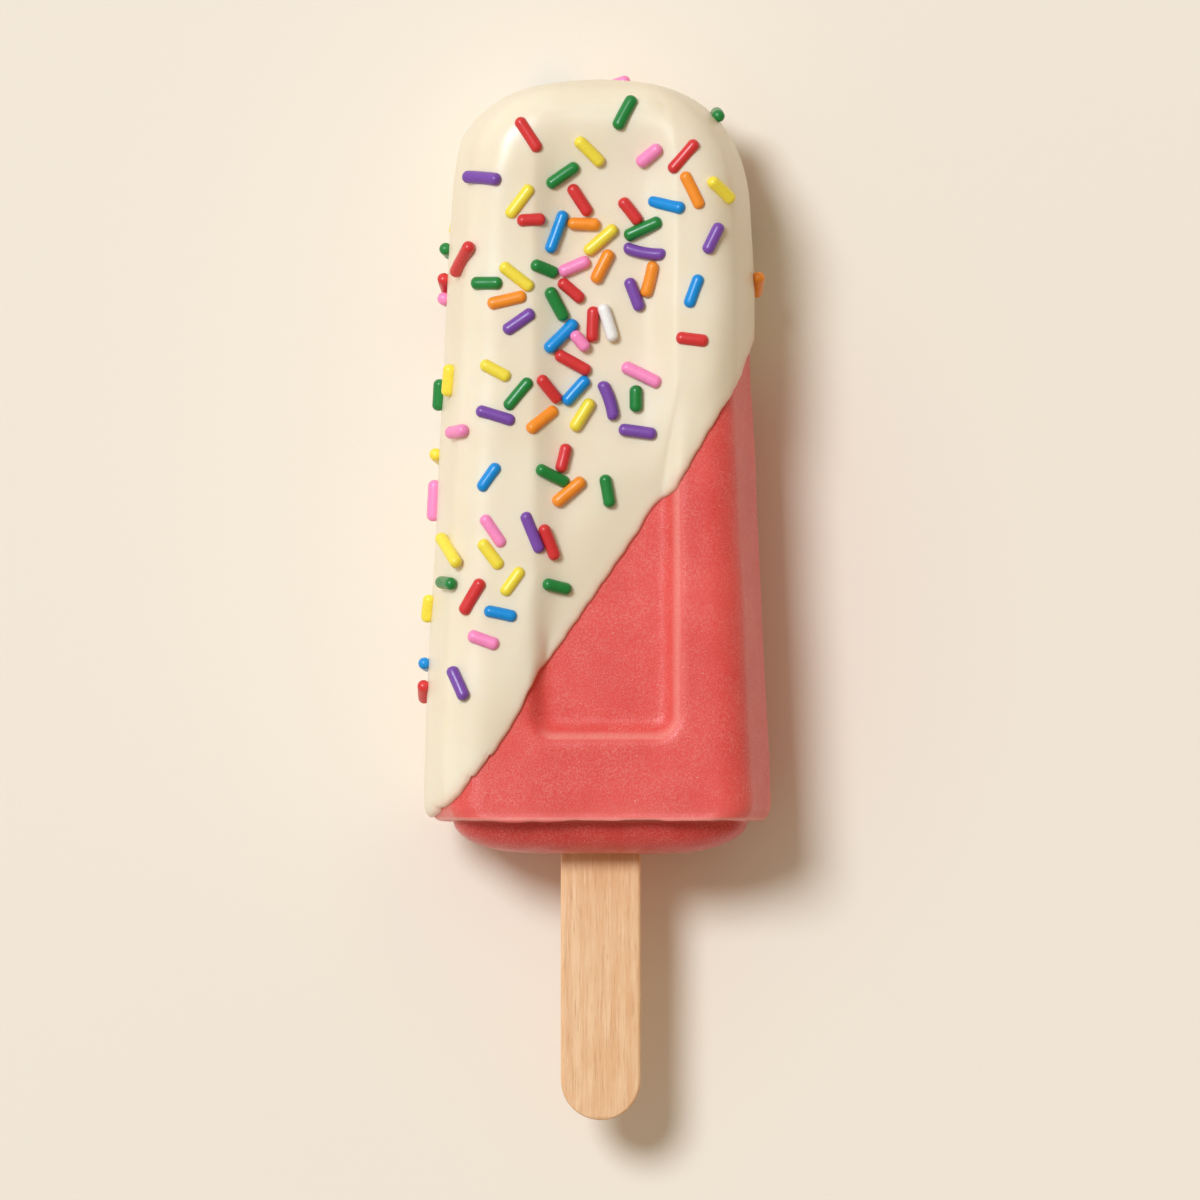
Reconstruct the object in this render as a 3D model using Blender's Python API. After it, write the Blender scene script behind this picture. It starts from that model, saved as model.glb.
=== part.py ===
"""An ice pop that lies on its back: a moulded sorbet bar on a flat wooden stick, dipped slantwise in
white chocolate.

Blender 4.5, metres, +Z up. Run with: blender --background --python part.py

The bar is worked out in its own frame, which has its origin on the stick's centre line at the lip,
the sharp edge where the moulded block ends. There X runs across the bar, Y along it to the tip, and
Z up through its face. The empty ice_pop then lays that frame on the table.
"""

import math

import bmesh
import bpy
from mathutils import Vector

MM = 0.001

# The moulded block. It is widest in its middle plane, from which it draws in to both faces.
BLOCK_LENGTH = 91.4 * MM
BLOCK_HALF_WIDTH = 21.5 * MM  # at the lip
BLOCK_HALF_THICKNESS = 11.0 * MM
TAPER = 0.048  # half width lost for each unit of length
LIP_CORNER = 2.0 * MM
TIP_CORNER_WIDE = 12.5 * MM  # the tip's corners are quarter ellipses, the right one the longer
TIP_CORNER_LEFT = 11.3 * MM
TIP_CORNER_RIGHT = 16.0 * MM

# How the block draws in from its middle plane to its faces.
DRAFT = 2.5 * MM
EDGE_ROUND = 4.2 * MM
CREASE_ANGLE = math.radians(30)  # where the draft ends and the rounding begins
TIP_SHARE = 0.38  # the tip draws in by this share of what the sides do
LIP_SHARE = 0.10

# The shallow panel in each face.
PANEL_HALF_WIDTH = 9.9 * MM
PANEL_SHIFT = 0.5 * MM
PANEL_LOW = 9.6 * MM
PANEL_HIGH = 87.0 * MM
PANEL_CORNER = 3.4 * MM
PANEL_DEPTH = 1.9 * MM
PANEL_WALL = 2.9 * MM  # width of its sloping wall

# The domed foot below the lip, out of which the stick comes.
FOOT_LENGTH = 4.1 * MM
FOOT_INSIDE = 3.0 * MM  # how far it reaches into the block
FOOT_END_HALF_WIDTH = 8.8 * MM
FOOT_END_HALF_THICKNESS = 4.0 * MM
FOOT_FLARE_WIDE = 9.7 * MM
FOOT_FLARE_THICK = 4.4 * MM
FOOT_SQUARENESS = 4.0  # exponent of its superelliptic cross-section

# The wooden stick.
STICK_LENGTH = 114.0 * MM
STICK_WIDTH = 10.0 * MM
STICK_THICKNESS = 2.0 * MM
STICK_SHOWS = 37.5 * MM  # from the lip to its free end
STICK_EDGE = 0.35 * MM

# The white chocolate. It keeps a gap to the bar, as two touching meshes have to.
GAP = 0.3 * MM
COAT_THICKNESS = 1.0 * MM
COAT_GROW = GAP + COAT_THICKNESS
COAT_PANEL_DEPTH = 1.4 * MM

# The edge that the dip left on the bar, in the plan view: a slanting line with a few shallow waves.
DIP_ANGLE = math.radians(55.5)
DIP_ON_AXIS = 28.9 * MM
DIP_REACH = 45.0 * MM
DIP_WAVES = (  # place along the line, how far the edge moves up into the chocolate, spread
    (-35.0 * MM, 0.6 * MM, 2.5 * MM),
    (-22.5 * MM, -0.8 * MM, 5.5 * MM),
    (-12.0 * MM, 0.5 * MM, 4.0 * MM),
    (12.3 * MM, 0.4 * MM, 2.5 * MM),
    (16.8 * MM, -0.9 * MM, 2.6 * MM),
    (37.0 * MM, 1.6 * MM, 5.0 * MM),
)

# How finely the round shapes are cut into flats.
CORNER_STEPS = 4
TIP_STEPS = 9
SIDE_STEPS = 8
END_STEPS = 6
ROUND_STEPS = 4
WALL_STEPS = 3
FOOT_STEPS = 5
FOOT_AROUND = 48
STICK_END_STEPS = 12
DIP_STEPS = 30

SORBET_COLOUR = (0.74, 0.105, 0.095, 1)
CHOCOLATE_COLOUR = (0.86, 0.74, 0.53, 1)
WOOD_COLOUR = (0.82, 0.53, 0.30, 1)


def clear_scene():
    for obj in list(bpy.data.objects):
        bpy.data.objects.remove(obj)


def material(name, colour, roughness):
    made = bpy.data.materials.new(name)
    made.use_nodes = True
    shader = made.node_tree.nodes["Principled BSDF"]
    shader.inputs["Base Color"].default_value = colour
    shader.inputs["Roughness"].default_value = roughness
    shader.inputs["Metallic"].default_value = 0
    return made


def add_object(name, mesh, parent, finish=None):
    obj = bpy.data.objects.new(name, mesh)
    bpy.context.scene.collection.objects.link(obj)
    obj.parent = parent
    if finish:
        mesh.materials.append(finish)
    return obj


def mesh_from(name, bm):
    bmesh.ops.recalc_face_normals(bm, faces=bm.faces)
    mesh = bpy.data.meshes.new(name)
    bm.to_mesh(mesh)
    bm.free()
    return mesh


def loft(rings):
    """A closed bmesh over rings of equally many points, with a flat cap on the first and the last."""
    bm = bmesh.new()
    loops = [[bm.verts.new(point) for point in ring] for ring in rings]
    count = len(loops[0])
    for near, far in zip(loops, loops[1:]):
        for i in range(count):
            j = (i + 1) % count
            bm.faces.new((near[i], near[j], far[j], far[i]))
    bm.faces.new(reversed(loops[0]))
    bm.faces.new(loops[-1])
    return bm


def steps(count):
    """The fractions i / count from 0 up to, but without, 1."""
    return [i / count for i in range(count)]


def quarter(centre, radii, start, number):
    """Points on a quarter ellipse that runs anticlockwise from angle start, without its last one."""
    angles = [start + f * math.pi / 2 for f in steps(number)]
    return [
        (centre[0] + radii[0] * math.cos(a), centre[1] + radii[1] * math.sin(a))
        for a in angles
    ]


def straight(start, end, number):
    return [
        (start[0] + (end[0] - start[0]) * f, start[1] + (end[1] - start[1]) * f)
        for f in steps(number)
    ]


def outline(half_width, taper, low, high, low_corner, high_corner, shift=0.0):
    """A tapering rounded rectangle in the plan view, anticlockwise from its low edge's left end.

    half_width is that at Y 0. low_corner is a radius, and high_corner is (across, along the left
    side, along the right side)."""
    across, along_left, along_right = high_corner
    foot_x = half_width - taper * (low + low_corner)
    left_x = half_width - taper * (high - along_left)
    right_x = half_width - taper * (high - along_right)
    right = (foot_x - low_corner, low + low_corner)
    left = (-right[0], right[1])
    top_right = (right_x - across, high - along_right)
    top_left = (across - left_x, high - along_left)
    points = straight((left[0], low), (right[0], low), END_STEPS)
    points += quarter(right, (low_corner, low_corner), -math.pi / 2, CORNER_STEPS)
    points += straight((foot_x, right[1]), (right_x, top_right[1]), SIDE_STEPS)
    points += quarter(top_right, (across, along_right), 0, TIP_STEPS)
    points += straight((top_right[0], high), (top_left[0], high), END_STEPS)
    points += quarter(top_left, (across, along_left), math.pi / 2, TIP_STEPS)
    points += straight((-left_x, top_left[1]), (-foot_x, left[1]), SIDE_STEPS)
    points += quarter(left, (low_corner, low_corner), math.pi, CORNER_STEPS)
    return [(x + shift, y) for x, y in points]


def block_slice(inset, grow, low):
    """The block's outline where its sides stand inset inside the middle plane's, all grown by grow."""
    at_tip = inset * TIP_SHARE
    return outline(
        BLOCK_HALF_WIDTH + grow - inset,
        TAPER,
        low + inset * LIP_SHARE,
        BLOCK_LENGTH + grow - at_tip,
        max(LIP_CORNER + grow - inset * LIP_SHARE, LIP_CORNER / 2),
        (
            TIP_CORNER_WIDE + grow - inset,
            TIP_CORNER_LEFT + grow - at_tip,
            TIP_CORNER_RIGHT + grow - at_tip,
        ),
    )


def panel_slice(inset, grow):
    """The panel's outline where its wall has come inset inwards from the rim."""
    inward = inset + grow
    corner = max(PANEL_CORNER - inward, PANEL_CORNER / 4)
    return outline(
        PANEL_HALF_WIDTH - inward,
        0.0,
        PANEL_LOW + inward,
        PANEL_HIGH - inward,
        corner,
        (corner, corner, corner),
        PANEL_SHIFT,
    )


def block_rings(grow, low, depth):
    """Rings from the middle of one face, out over its rim, round the sides and into the other face."""
    face = BLOCK_HALF_THICKNESS + grow
    radius = EDGE_ROUND / math.cos(CREASE_ANGLE)
    rings = []
    for i in range(WALL_STEPS + 1):
        share = i / WALL_STEPS
        drop = depth * (1 + math.cos(math.pi * share)) / 2
        rings.append((panel_slice(PANEL_WALL * (1 - share), grow), face - drop))
    for i in range(ROUND_STEPS + 1):
        angle = math.pi / 2 + (CREASE_ANGLE - math.pi / 2) * i / ROUND_STEPS
        inset = DRAFT + radius * (math.cos(CREASE_ANGLE) - math.cos(angle))
        height = face - radius * (1 - math.sin(angle))
        rings.append((block_slice(inset, grow, low), height))
    upper = [[Vector((x, y, z)) for x, y in ring] for ring, z in rings]
    middle = [Vector((x, y, 0)) for x, y in block_slice(0, grow, low)]
    lower = [[Vector((p.x, p.y, -p.z)) for p in ring] for ring in reversed(upper)]
    return upper + [middle] + lower


def foot_rings():
    """Cross-sections of the domed foot, from its flat end up into the block."""
    power = 2 / FOOT_SQUARENESS
    rings = []
    for i in range(FOOT_STEPS + 2):
        turn = min(i / FOOT_STEPS, 1) * math.pi / 2
        y = FOOT_INSIDE if i > FOOT_STEPS else -FOOT_LENGTH * math.cos(turn)
        wide = FOOT_END_HALF_WIDTH + FOOT_FLARE_WIDE * math.sin(turn)
        thick = FOOT_END_HALF_THICKNESS + FOOT_FLARE_THICK * math.sin(turn)
        ring = []
        for f in steps(FOOT_AROUND):
            c, s = math.cos(2 * math.pi * f), math.sin(2 * math.pi * f)
            x = math.copysign(abs(c) ** power, c) * wide
            z = math.copysign(abs(s) ** power, s) * thick
            ring.append(Vector((x, y, z)))
        rings.append(ring)
    return rings


def stick_bmesh(grow):
    """The stick as an extruded outline with round ends and softened edges."""
    half = STICK_WIDTH / 2 + grow
    low = -STICK_SHOWS - grow
    high = STICK_LENGTH - STICK_SHOWS + grow
    points = []
    for f in steps(STICK_END_STEPS) + [1.0]:
        angle = math.pi * (1 + f)
        points.append((half * math.cos(angle), low + half + half * math.sin(angle)))
    for f in steps(STICK_END_STEPS) + [1.0]:
        angle = math.pi * f
        points.append((half * math.cos(angle), high - half + half * math.sin(angle)))
    bm = bmesh.new()
    thick = STICK_THICKNESS / 2 + grow
    base = bm.faces.new([bm.verts.new((x, y, -thick)) for x, y in points])
    made = bmesh.ops.extrude_face_region(bm, geom=[base])["geom"]
    raised = [v for v in made if isinstance(v, bmesh.types.BMVert)]
    bmesh.ops.translate(bm, verts=raised, vec=(0, 0, 2 * thick))
    return bm


def dip_edge(along):
    """How far the wavy edge stands off the straight dip line, towards the coated side."""
    return sum(
        move * math.exp(-(((along - place) / spread) ** 2))
        for place, move, spread in DIP_WAVES
    )


def dip_bmesh():
    """The space below the dip line, which the chocolate never reached."""
    along = Vector((math.cos(DIP_ANGLE), math.sin(DIP_ANGLE)))
    off = Vector((-along.y, along.x))
    start = Vector((0, DIP_ON_AXIS))
    line = []
    for f in steps(DIP_STEPS) + [1.0]:
        u = DIP_REACH * (2 * f - 1)
        line.append(start + along * u + off * dip_edge(u))
    corners = [line[-1] - off * 2 * DIP_REACH, line[0] - off * 2 * DIP_REACH]
    tall = 2 * BLOCK_HALF_THICKNESS
    bm = bmesh.new()
    base = bm.faces.new([bm.verts.new((p.x, p.y, -tall)) for p in line + corners])
    made = bmesh.ops.extrude_face_region(bm, geom=[base])["geom"]
    raised = [v for v in made if isinstance(v, bmesh.types.BMVert)]
    bmesh.ops.translate(bm, verts=raised, vec=(0, 0, 2 * tall))
    return bm


def helper(name, bm, parent):
    """An object that only cuts or joins others."""
    obj = add_object(name, mesh_from(name, bm), parent)
    obj.hide_render = True
    obj.display_type = "WIRE"
    return obj


def boolean(obj, operation, other):
    modifier = obj.modifiers.new(f"{operation.lower()}_{other.name}", "BOOLEAN")
    modifier.operation = operation
    modifier.object = other
    modifier.solver = "EXACT"


def shade(obj):
    obj.data.shade_smooth()
    obj.data.set_sharp_from_angle(angle=math.radians(35))


def build_sorbet(parent):
    """The bar itself: the block with its two panels, its foot, and the slot that holds the stick."""
    finish = material("sorbet", SORBET_COLOUR, 0.45)
    block = mesh_from("sorbet", loft(block_rings(0, 0, PANEL_DEPTH)))
    sorbet = add_object("sorbet", block, parent, finish)
    foot = helper("foot", loft(foot_rings()), parent)
    slot = helper("stick_slot", stick_bmesh(GAP), parent)
    boolean(sorbet, "UNION", foot)
    boolean(sorbet, "DIFFERENCE", slot)
    shade(sorbet)


def build_coating(parent):
    """The white chocolate shell, open along the dip line and at the lip."""
    finish = material("white_chocolate", CHOCOLATE_COLOUR, 0.3)
    outer = loft(block_rings(COAT_GROW, 0, COAT_PANEL_DEPTH))
    coating = add_object("coating", mesh_from("coating", outer), parent, finish)
    inner = helper("bar_room", loft(block_rings(GAP, -GAP, PANEL_DEPTH)), parent)
    bare = helper("bare_side", dip_bmesh(), parent)
    boolean(coating, "DIFFERENCE", bare)
    boolean(coating, "DIFFERENCE", inner)
    shade(coating)


def build_stick(parent):
    finish = material("birch", WOOD_COLOUR, 0.6)
    stick = add_object("stick", mesh_from("stick", stick_bmesh(0)), parent, finish)
    bevel = stick.modifiers.new("softened_edges", "BEVEL")
    bevel.width = STICK_EDGE
    bevel.segments = 2
    bevel.limit_method = "ANGLE"
    bevel.angle_limit = math.radians(60)
    shade(stick)


def build_ice_pop():
    """Lays the pop on its coated back, with its box centred over the origin."""
    left = -(BLOCK_HALF_WIDTH + COAT_GROW) + TAPER * LIP_CORNER
    right = BLOCK_HALF_WIDTH - TAPER * LIP_CORNER
    lowest = -STICK_SHOWS
    highest = BLOCK_LENGTH + COAT_GROW
    pop = bpy.data.objects.new("ice_pop", None)
    bpy.context.scene.collection.objects.link(pop)
    pop.location = (
        -(left + right) / 2,
        -(lowest + highest) / 2,
        BLOCK_HALF_THICKNESS + COAT_GROW,
    )
    build_sorbet(pop)
    build_coating(pop)
    build_stick(pop)


clear_scene()
build_ice_pop()
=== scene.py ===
"""The looks of an ice pop: a frosty sorbet bar on a wooden stick, dipped in white chocolate.

The bar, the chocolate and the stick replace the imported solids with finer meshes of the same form, and
the sprinkles are added on top. Lengths are in millimetres in the bar's own frame, whose origin is on the
stick's centre line at the lip: X runs across the bar, Y along it to the tip, Z up through its face.
"""

import math
import random

import bmesh
import bpy
import numpy as np
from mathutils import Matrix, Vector
from mathutils.bvhtree import BVHTree


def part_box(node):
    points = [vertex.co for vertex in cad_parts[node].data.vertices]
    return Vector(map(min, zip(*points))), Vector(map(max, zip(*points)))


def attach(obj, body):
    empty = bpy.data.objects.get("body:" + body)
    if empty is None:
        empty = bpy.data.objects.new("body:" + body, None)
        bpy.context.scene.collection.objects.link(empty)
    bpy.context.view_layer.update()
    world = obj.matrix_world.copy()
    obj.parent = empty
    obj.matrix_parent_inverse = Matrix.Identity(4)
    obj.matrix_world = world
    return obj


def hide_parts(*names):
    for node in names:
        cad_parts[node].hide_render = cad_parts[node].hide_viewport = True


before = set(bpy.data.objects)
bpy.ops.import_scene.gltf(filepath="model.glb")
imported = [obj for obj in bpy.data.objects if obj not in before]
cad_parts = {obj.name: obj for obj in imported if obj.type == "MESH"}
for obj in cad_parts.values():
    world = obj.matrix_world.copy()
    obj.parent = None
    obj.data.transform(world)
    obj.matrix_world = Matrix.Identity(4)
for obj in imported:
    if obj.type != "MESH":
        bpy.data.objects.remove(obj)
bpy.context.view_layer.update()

MM = 0.001

# The moulded block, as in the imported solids.
LENGTH = 91.4
HALF_WIDTH = 21.5  # at the lip, in the middle plane
HALF_THICKNESS = 11.0
TAPER = 0.048
LIP_CORNER = 2.0
TIP_WIDE = 12.5
TIP_LEFT = 11.3
TIP_RIGHT = 16.0
DRAFT = 2.5
EDGE_ROUND = 4.2
CREASE = math.radians(30)
TIP_SHARE = 0.38

# The panel in each face.
PANEL_HALF_WIDTH = 9.9
PANEL_SHIFT = 0.5
PANEL_LOW = 9.6
PANEL_HIGH = 87.0
PANEL_CORNER = 3.6
PANEL_DEPTH = 2.0
PANEL_WALL = 2.8

# The foot below the lip.
FOOT_LENGTH = 4.1
FOOT_END = (8.8, 4.0)  # half width, half thickness
FOOT_TOP = (18.4, 8.4)
FOOT_SQUARENESS = 4.0

# The stick.
STICK_LENGTH = 114.0
STICK_HALF_WIDTH = 5.0
STICK_HALF_THICKNESS = 1.0
STICK_SHOWS = 37.5
STICK_EDGE = 0.45

# The white chocolate.
COAT = 1.2
COAT_PANEL_DEPTH = 1.6
DIP_ANGLE = math.radians(55.5)
DIP_ON_AXIS = 28.9
DIP_WAVES = (  # place along the edge, and how far it stands off the straight line, into the chocolate
    (-38.0, 1.6), (-36.0, 1.2), (-34.0, 0.6), (-32.0, 0.0), (-28.0, -0.3), (-24.0, -0.67), (-19.0, -0.48),
    (-16.0, 0.1), (-13.0, 0.65), (-10.0, 0.2), (0.0, 0.15), (9.0, 0.15), (12.3, 0.5), (14.0, -0.3),
    (15.5, -0.8), (17.0, -0.6), (20.0, -0.35), (25.5, 0.15), (30.0, 0.46), (32.0, 0.91), (35.0, 1.7),
    (38.0, 2.3),
)
DIP_SMOOTHING = (-0.8, -0.4, 0.0, 0.4, 0.8)  # shifts that the waves are averaged over
DIP_RIPPLES = ((0.05, 1.9, 1.0), (0.02, 4.3, 0.0))  # height, turns of a radian for each mm, start
DIP_NICKS = ((-25.2, 0.35), (-28.6, 0.3), (-33.8, 0.35))  # place along the edge, depth
NICK_WIDTH = 0.3

# Where the pop lies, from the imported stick.
STICK_LOW, STICK_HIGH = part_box("stick")
ORIGIN = Vector((
    (STICK_LOW.x + STICK_HIGH.x) / 2,
    STICK_LOW.y + STICK_SHOWS * MM,
    (STICK_LOW.z + STICK_HIGH.z) / 2,
))
TABLE = -ORIGIN.z / MM
CAD_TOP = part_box("coating")[1].z / MM + TABLE


# ---------------------------------------------------------------- forms

def smoothstep(low, high, value):
    t = np.clip((value - low) / (high - low), 0, 1)
    return t * t * (3 - 2 * t)


def slice_inset(height, face):
    """How far the block's outline has drawn in at a height off the middle plane."""
    radius = EDGE_ROUND / math.cos(CREASE)
    crease_height = face - radius * (1 - math.sin(CREASE))
    rise = np.clip(1 - (face - height) / radius, -1, 1)
    arc = DRAFT + radius * (math.cos(CREASE) - np.sqrt(1 - rise**2))
    return np.where(height < crease_height, DRAFT * height / crease_height, arc)


def panel_depth(x, y, grow, depth):
    """Depth of the panel's recess at a point of the face."""
    half_x = PANEL_HALF_WIDTH - grow
    half_y = (PANEL_HIGH - PANEL_LOW) / 2 - grow
    middle_y = (PANEL_HIGH + PANEL_LOW) / 2
    corner = PANEL_CORNER
    across = np.abs(x - PANEL_SHIFT) - (half_x - corner)
    along = np.abs(y - middle_y) - (half_y - corner)
    outside = np.hypot(np.maximum(across, 0), np.maximum(along, 0))
    inside_by = corner - (outside + np.minimum(np.maximum(across, along), 0))
    share = np.clip(inside_by / PANEL_WALL, 0, 1)
    return depth * (1 - np.cos(math.pi * share)) / 2


def is_inside(points, grow, depth):
    """Whether points lie in the block grown by grow."""
    x, y, z = points[..., 0], points[..., 1], np.abs(points[..., 2])
    face = HALF_THICKNESS + grow
    inset = slice_inset(z, face)
    side = np.abs(x)
    half = HALF_WIDTH + grow - inset
    tip = LENGTH + grow - inset * TIP_SHARE
    wide = np.maximum(TIP_WIDE + grow - inset, 0.1)
    long = np.where(x < 0, TIP_LEFT, TIP_RIGHT) + grow - inset * TIP_SHARE
    tip_x = half - TAPER * (tip - long) - wide
    tip_y = tip - long
    in_tip = ((side - tip_x) / wide) ** 2 + ((y - tip_y) / long) ** 2 <= 1
    corner = LIP_CORNER + grow
    lip_x = half - TAPER * corner - corner
    in_lip = (side - lip_x) ** 2 + (y - corner) ** 2 <= corner**2
    good = (side <= half - TAPER * y) & (y >= 0) & (y <= tip) & (z <= face)
    good &= ~((side > tip_x) & (y > tip_y)) | in_tip
    good &= ~((side > lip_x) & (y < corner)) | in_lip
    return good & (z <= face - panel_depth(x, y, grow, depth))


FARTHEST = 45.0  # no ray inside the block is longer
HALVINGS = 34


def surface_from(starts, directions, grow, depth):
    """The points where rays from inside the block leave it, found by halving."""
    near = np.zeros(starts.shape[:-1])
    far = np.full(starts.shape[:-1], FARTHEST)
    for _ in range(HALVINGS):
        middle = (near + far) / 2
        good = is_inside(starts + directions * middle[..., None], grow, depth)
        near = np.where(good, middle, near)
        far = np.where(good, far, middle)
    return starts + directions * near[..., None]


SECTION_SAMPLES = 6001


def section_directions(count, y, grow, depth):
    """Points around the block's cross-section at y, evenly spaced along its outline."""
    turn = np.linspace(0, 2 * math.pi, SECTION_SAMPLES)
    rays = np.stack([np.cos(turn), np.zeros_like(turn), np.sin(turn)], -1)
    starts = np.zeros_like(rays)
    starts[:, 1] = y
    rim = surface_from(starts, rays, grow, depth)
    length = np.concatenate([[0], np.cumsum(np.linalg.norm(np.diff(rim, axis=0), axis=1))])
    wanted = np.linspace(0, length[-1], count, endpoint=False)
    return np.stack([np.interp(wanted, length, rim[:, k]) for k in (0, 2)], -1)


SECTION_Y = 40.0  # where the reference cross-section is taken
TIP_CENTRE = 84.0  # from here on, rays fan out over the tip
SPINE = 0.7  # a ray starts this share of the way out, so that it meets the panel's walls squarely
TAPER_BLEND = (7.0, 16.0)  # rays inside follow the panel, and rays outside follow the tapering sides


def spine_rays(section, along):
    """Starts and directions of rays at a distance from the lip, given for each point of the section.

    The rays stay on the same features of the tapering block as the section's points."""
    shift = smoothstep(*TAPER_BLEND, np.abs(section[:, 0])) * np.sign(section[:, 0]) * TAPER
    x = section[:, 0] - shift * (along - SECTION_Y)
    starts = np.stack(np.broadcast_arrays(SPINE * x, along, 0 * x), -1)
    rays = np.stack(np.broadcast_arrays((1 - SPINE) * x, 0 * x, section[:, 1]), -1)
    return starts, rays / np.linalg.norm(rays, axis=-1, keepdims=True)


def tip_rays(section, turn):
    """Rays that fan from the section's own (turn 0) to the tip (turn 1)."""
    starts, flat = spine_rays(section, np.full((len(turn), len(section)), TIP_CENTRE))
    cos = np.cos(turn * math.pi / 2)[:, None]
    starts[..., 0] *= cos
    rays = flat * cos[..., None]
    rays[..., 1] = np.sin(turn * math.pi / 2)[:, None]
    return starts, rays


LAST_TURN = 0.9999  # short of 1, where all rays would meet


def fan(count):
    """Turns from just over 0 to just under 1."""
    turns = np.linspace(0, 1, count)[1:]
    turns[-1] = LAST_TURN
    return turns


def all_rays(section, along, turns):
    """The rays of the straight part's rows, then those of the tip's."""
    starts, rays = spine_rays(section, along)
    tip_starts, tip_directions = tip_rays(section, turns)
    return np.concatenate([starts, tip_starts]), np.concatenate([rays, tip_directions])


def dip_distance(x, y):
    """Distance in the plan view from the dip's edge, positive on the coated side."""
    away = y - DIP_ON_AXIS
    along = x * math.cos(DIP_ANGLE) + away * math.sin(DIP_ANGLE)
    off = away * math.cos(DIP_ANGLE) - x * math.sin(DIP_ANGLE)
    places, moves = zip(*DIP_WAVES)
    wave = sum(np.interp(along + step, places, moves) for step in DIP_SMOOTHING) / len(DIP_SMOOTHING)
    ripple = sum(high * np.sin(along * rate + start) for high, rate, start in DIP_RIPPLES)
    nicks = sum(deep * np.exp(-(((along - place) / NICK_WIDTH) ** 2)) for place, deep in DIP_NICKS)
    return off - wave - ripple - nicks


# ---------------------------------------------------------------- noise

class Noise:
    """Smooth value noise in space, the same on each run."""

    def __init__(self, seed):
        self.table = np.random.RandomState(seed).rand(4096) * 2 - 1

    def corner(self, ix, iy, iz):
        mixed = (ix * 73856093) ^ (iy * 19349663) ^ (iz * 83492791)
        return self.table[mixed & 4095]

    def __call__(self, points, size):
        scaled = points / size + 1000.0
        cell = np.floor(scaled).astype(np.int64)
        f = scaled - cell
        f = f * f * f * (f * (f * 6 - 15) + 10)
        total = 0.0
        for dx in (0, 1):
            for dy in (0, 1):
                for dz in (0, 1):
                    weight = (
                        np.abs(1 - dx - f[..., 0]) * np.abs(1 - dy - f[..., 1]) * np.abs(1 - dz - f[..., 2])
                    )
                    value = self.corner(cell[..., 0] + dx, cell[..., 1] + dy, cell[..., 2] + dz)
                    total = total + weight * value
        return total


def layered(points, layers):
    """Noise in layers, each given as (seed, size, height)."""
    return sum(Noise(seed)(points, size) * height for seed, size, height in layers)


# ---------------------------------------------------------------- meshes

def grid_faces(rows, count, start=0, flip=False):
    """Quads between rows of points that each run once around."""
    faces = []
    for r in range(rows - 1):
        for i in range(count):
            j = (i + 1) % count
            a = start + r * count
            quad = (a + i, a + j, a + count + j, a + count + i)
            faces.append(quad[::-1] if flip else quad)
    return faces


def new_object(name, points, faces, finish):
    """A smooth-shaded mesh object, its points given in millimetres in the bar's frame."""
    mesh = bpy.data.meshes.new(name)
    placed = np.asarray(points) * MM + np.array(ORIGIN)
    mesh.from_pydata(placed.tolist(), [], faces)
    mesh.materials.append(finish)
    mesh.shade_smooth()
    obj = bpy.data.objects.new(name, mesh)
    bpy.context.scene.collection.objects.link(obj)
    return obj


def normals_of(grid):
    """Outward unit normals of a grid of rows that each run once around."""
    around = np.roll(grid, -1, axis=1) - np.roll(grid, 1, axis=1)
    along = np.gradient(grid, axis=0)
    n = np.cross(along, around)
    n /= np.maximum(np.linalg.norm(n, axis=-1, keepdims=True), 1e-9)
    centre = np.array([0, LENGTH / 2, 0])
    return n * np.sign(np.sum(n * (grid - centre)))


def average_around(field):
    """Each grid point's neighbours, averaged. The first and the last row have only their own row's."""
    side = (np.roll(field, -1, axis=1) + np.roll(field, 1, axis=1)) / 2
    ends = field.copy()
    ends[1:-1] = (field[2:] + field[:-2]) / 2
    return (side + ends) / 2


def smooth_normals(grid, passes):
    n = normals_of(grid)
    for _ in range(passes):
        n = average_around(n)
    return n / np.linalg.norm(n, axis=-1, keepdims=True)


def soften(grid, rays, passes):
    """Evens out a grid by moves along its rays only, so that its points keep their spacing."""
    for done in range(passes):
        if done % 10 == 0:
            n = smooth_normals(grid, 3)
        grid = grid + 0.5 * rays * np.sum((average_around(grid) - grid) * n, axis=-1, keepdims=True)
    return grid


# ---------------------------------------------------------------- the sorbet bar

AROUND = 288
BAR_PASSES = 6
LIP_RIDGE = 0.13  # the thin raised line where the mould's rim was
BAR_SWELLS = ((3, 9.0, 0.09), (4, 3.2, 0.022), (5, 0.9, 0.012))
LIP_WAVES = ((6, 5.0, 0.22), (7, 1.7, 0.1))


def superellipse(directions, half, power):
    """The point on a superellipse in each direction of the XZ plane."""
    x = np.abs(directions[:, 0]) / half[0]
    z = np.abs(directions[:, 2]) / half[1]
    reach = (x**power + z**power) ** (-1 / power)
    return directions[:, [0, 2]] * reach[:, None]


def bar_rows():
    """Distances from the lip of the rows along the straight part of the block."""
    near = np.array([0.0, 0.05, 0.14, 0.27, 0.45, 0.68, 0.95, 1.25, 1.6, 2.0])
    wall = np.arange(2.4, 14.0, 0.36)
    rest = np.linspace(14.2, TIP_CENTRE, 104)
    return np.concatenate([near, wall, rest])


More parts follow.
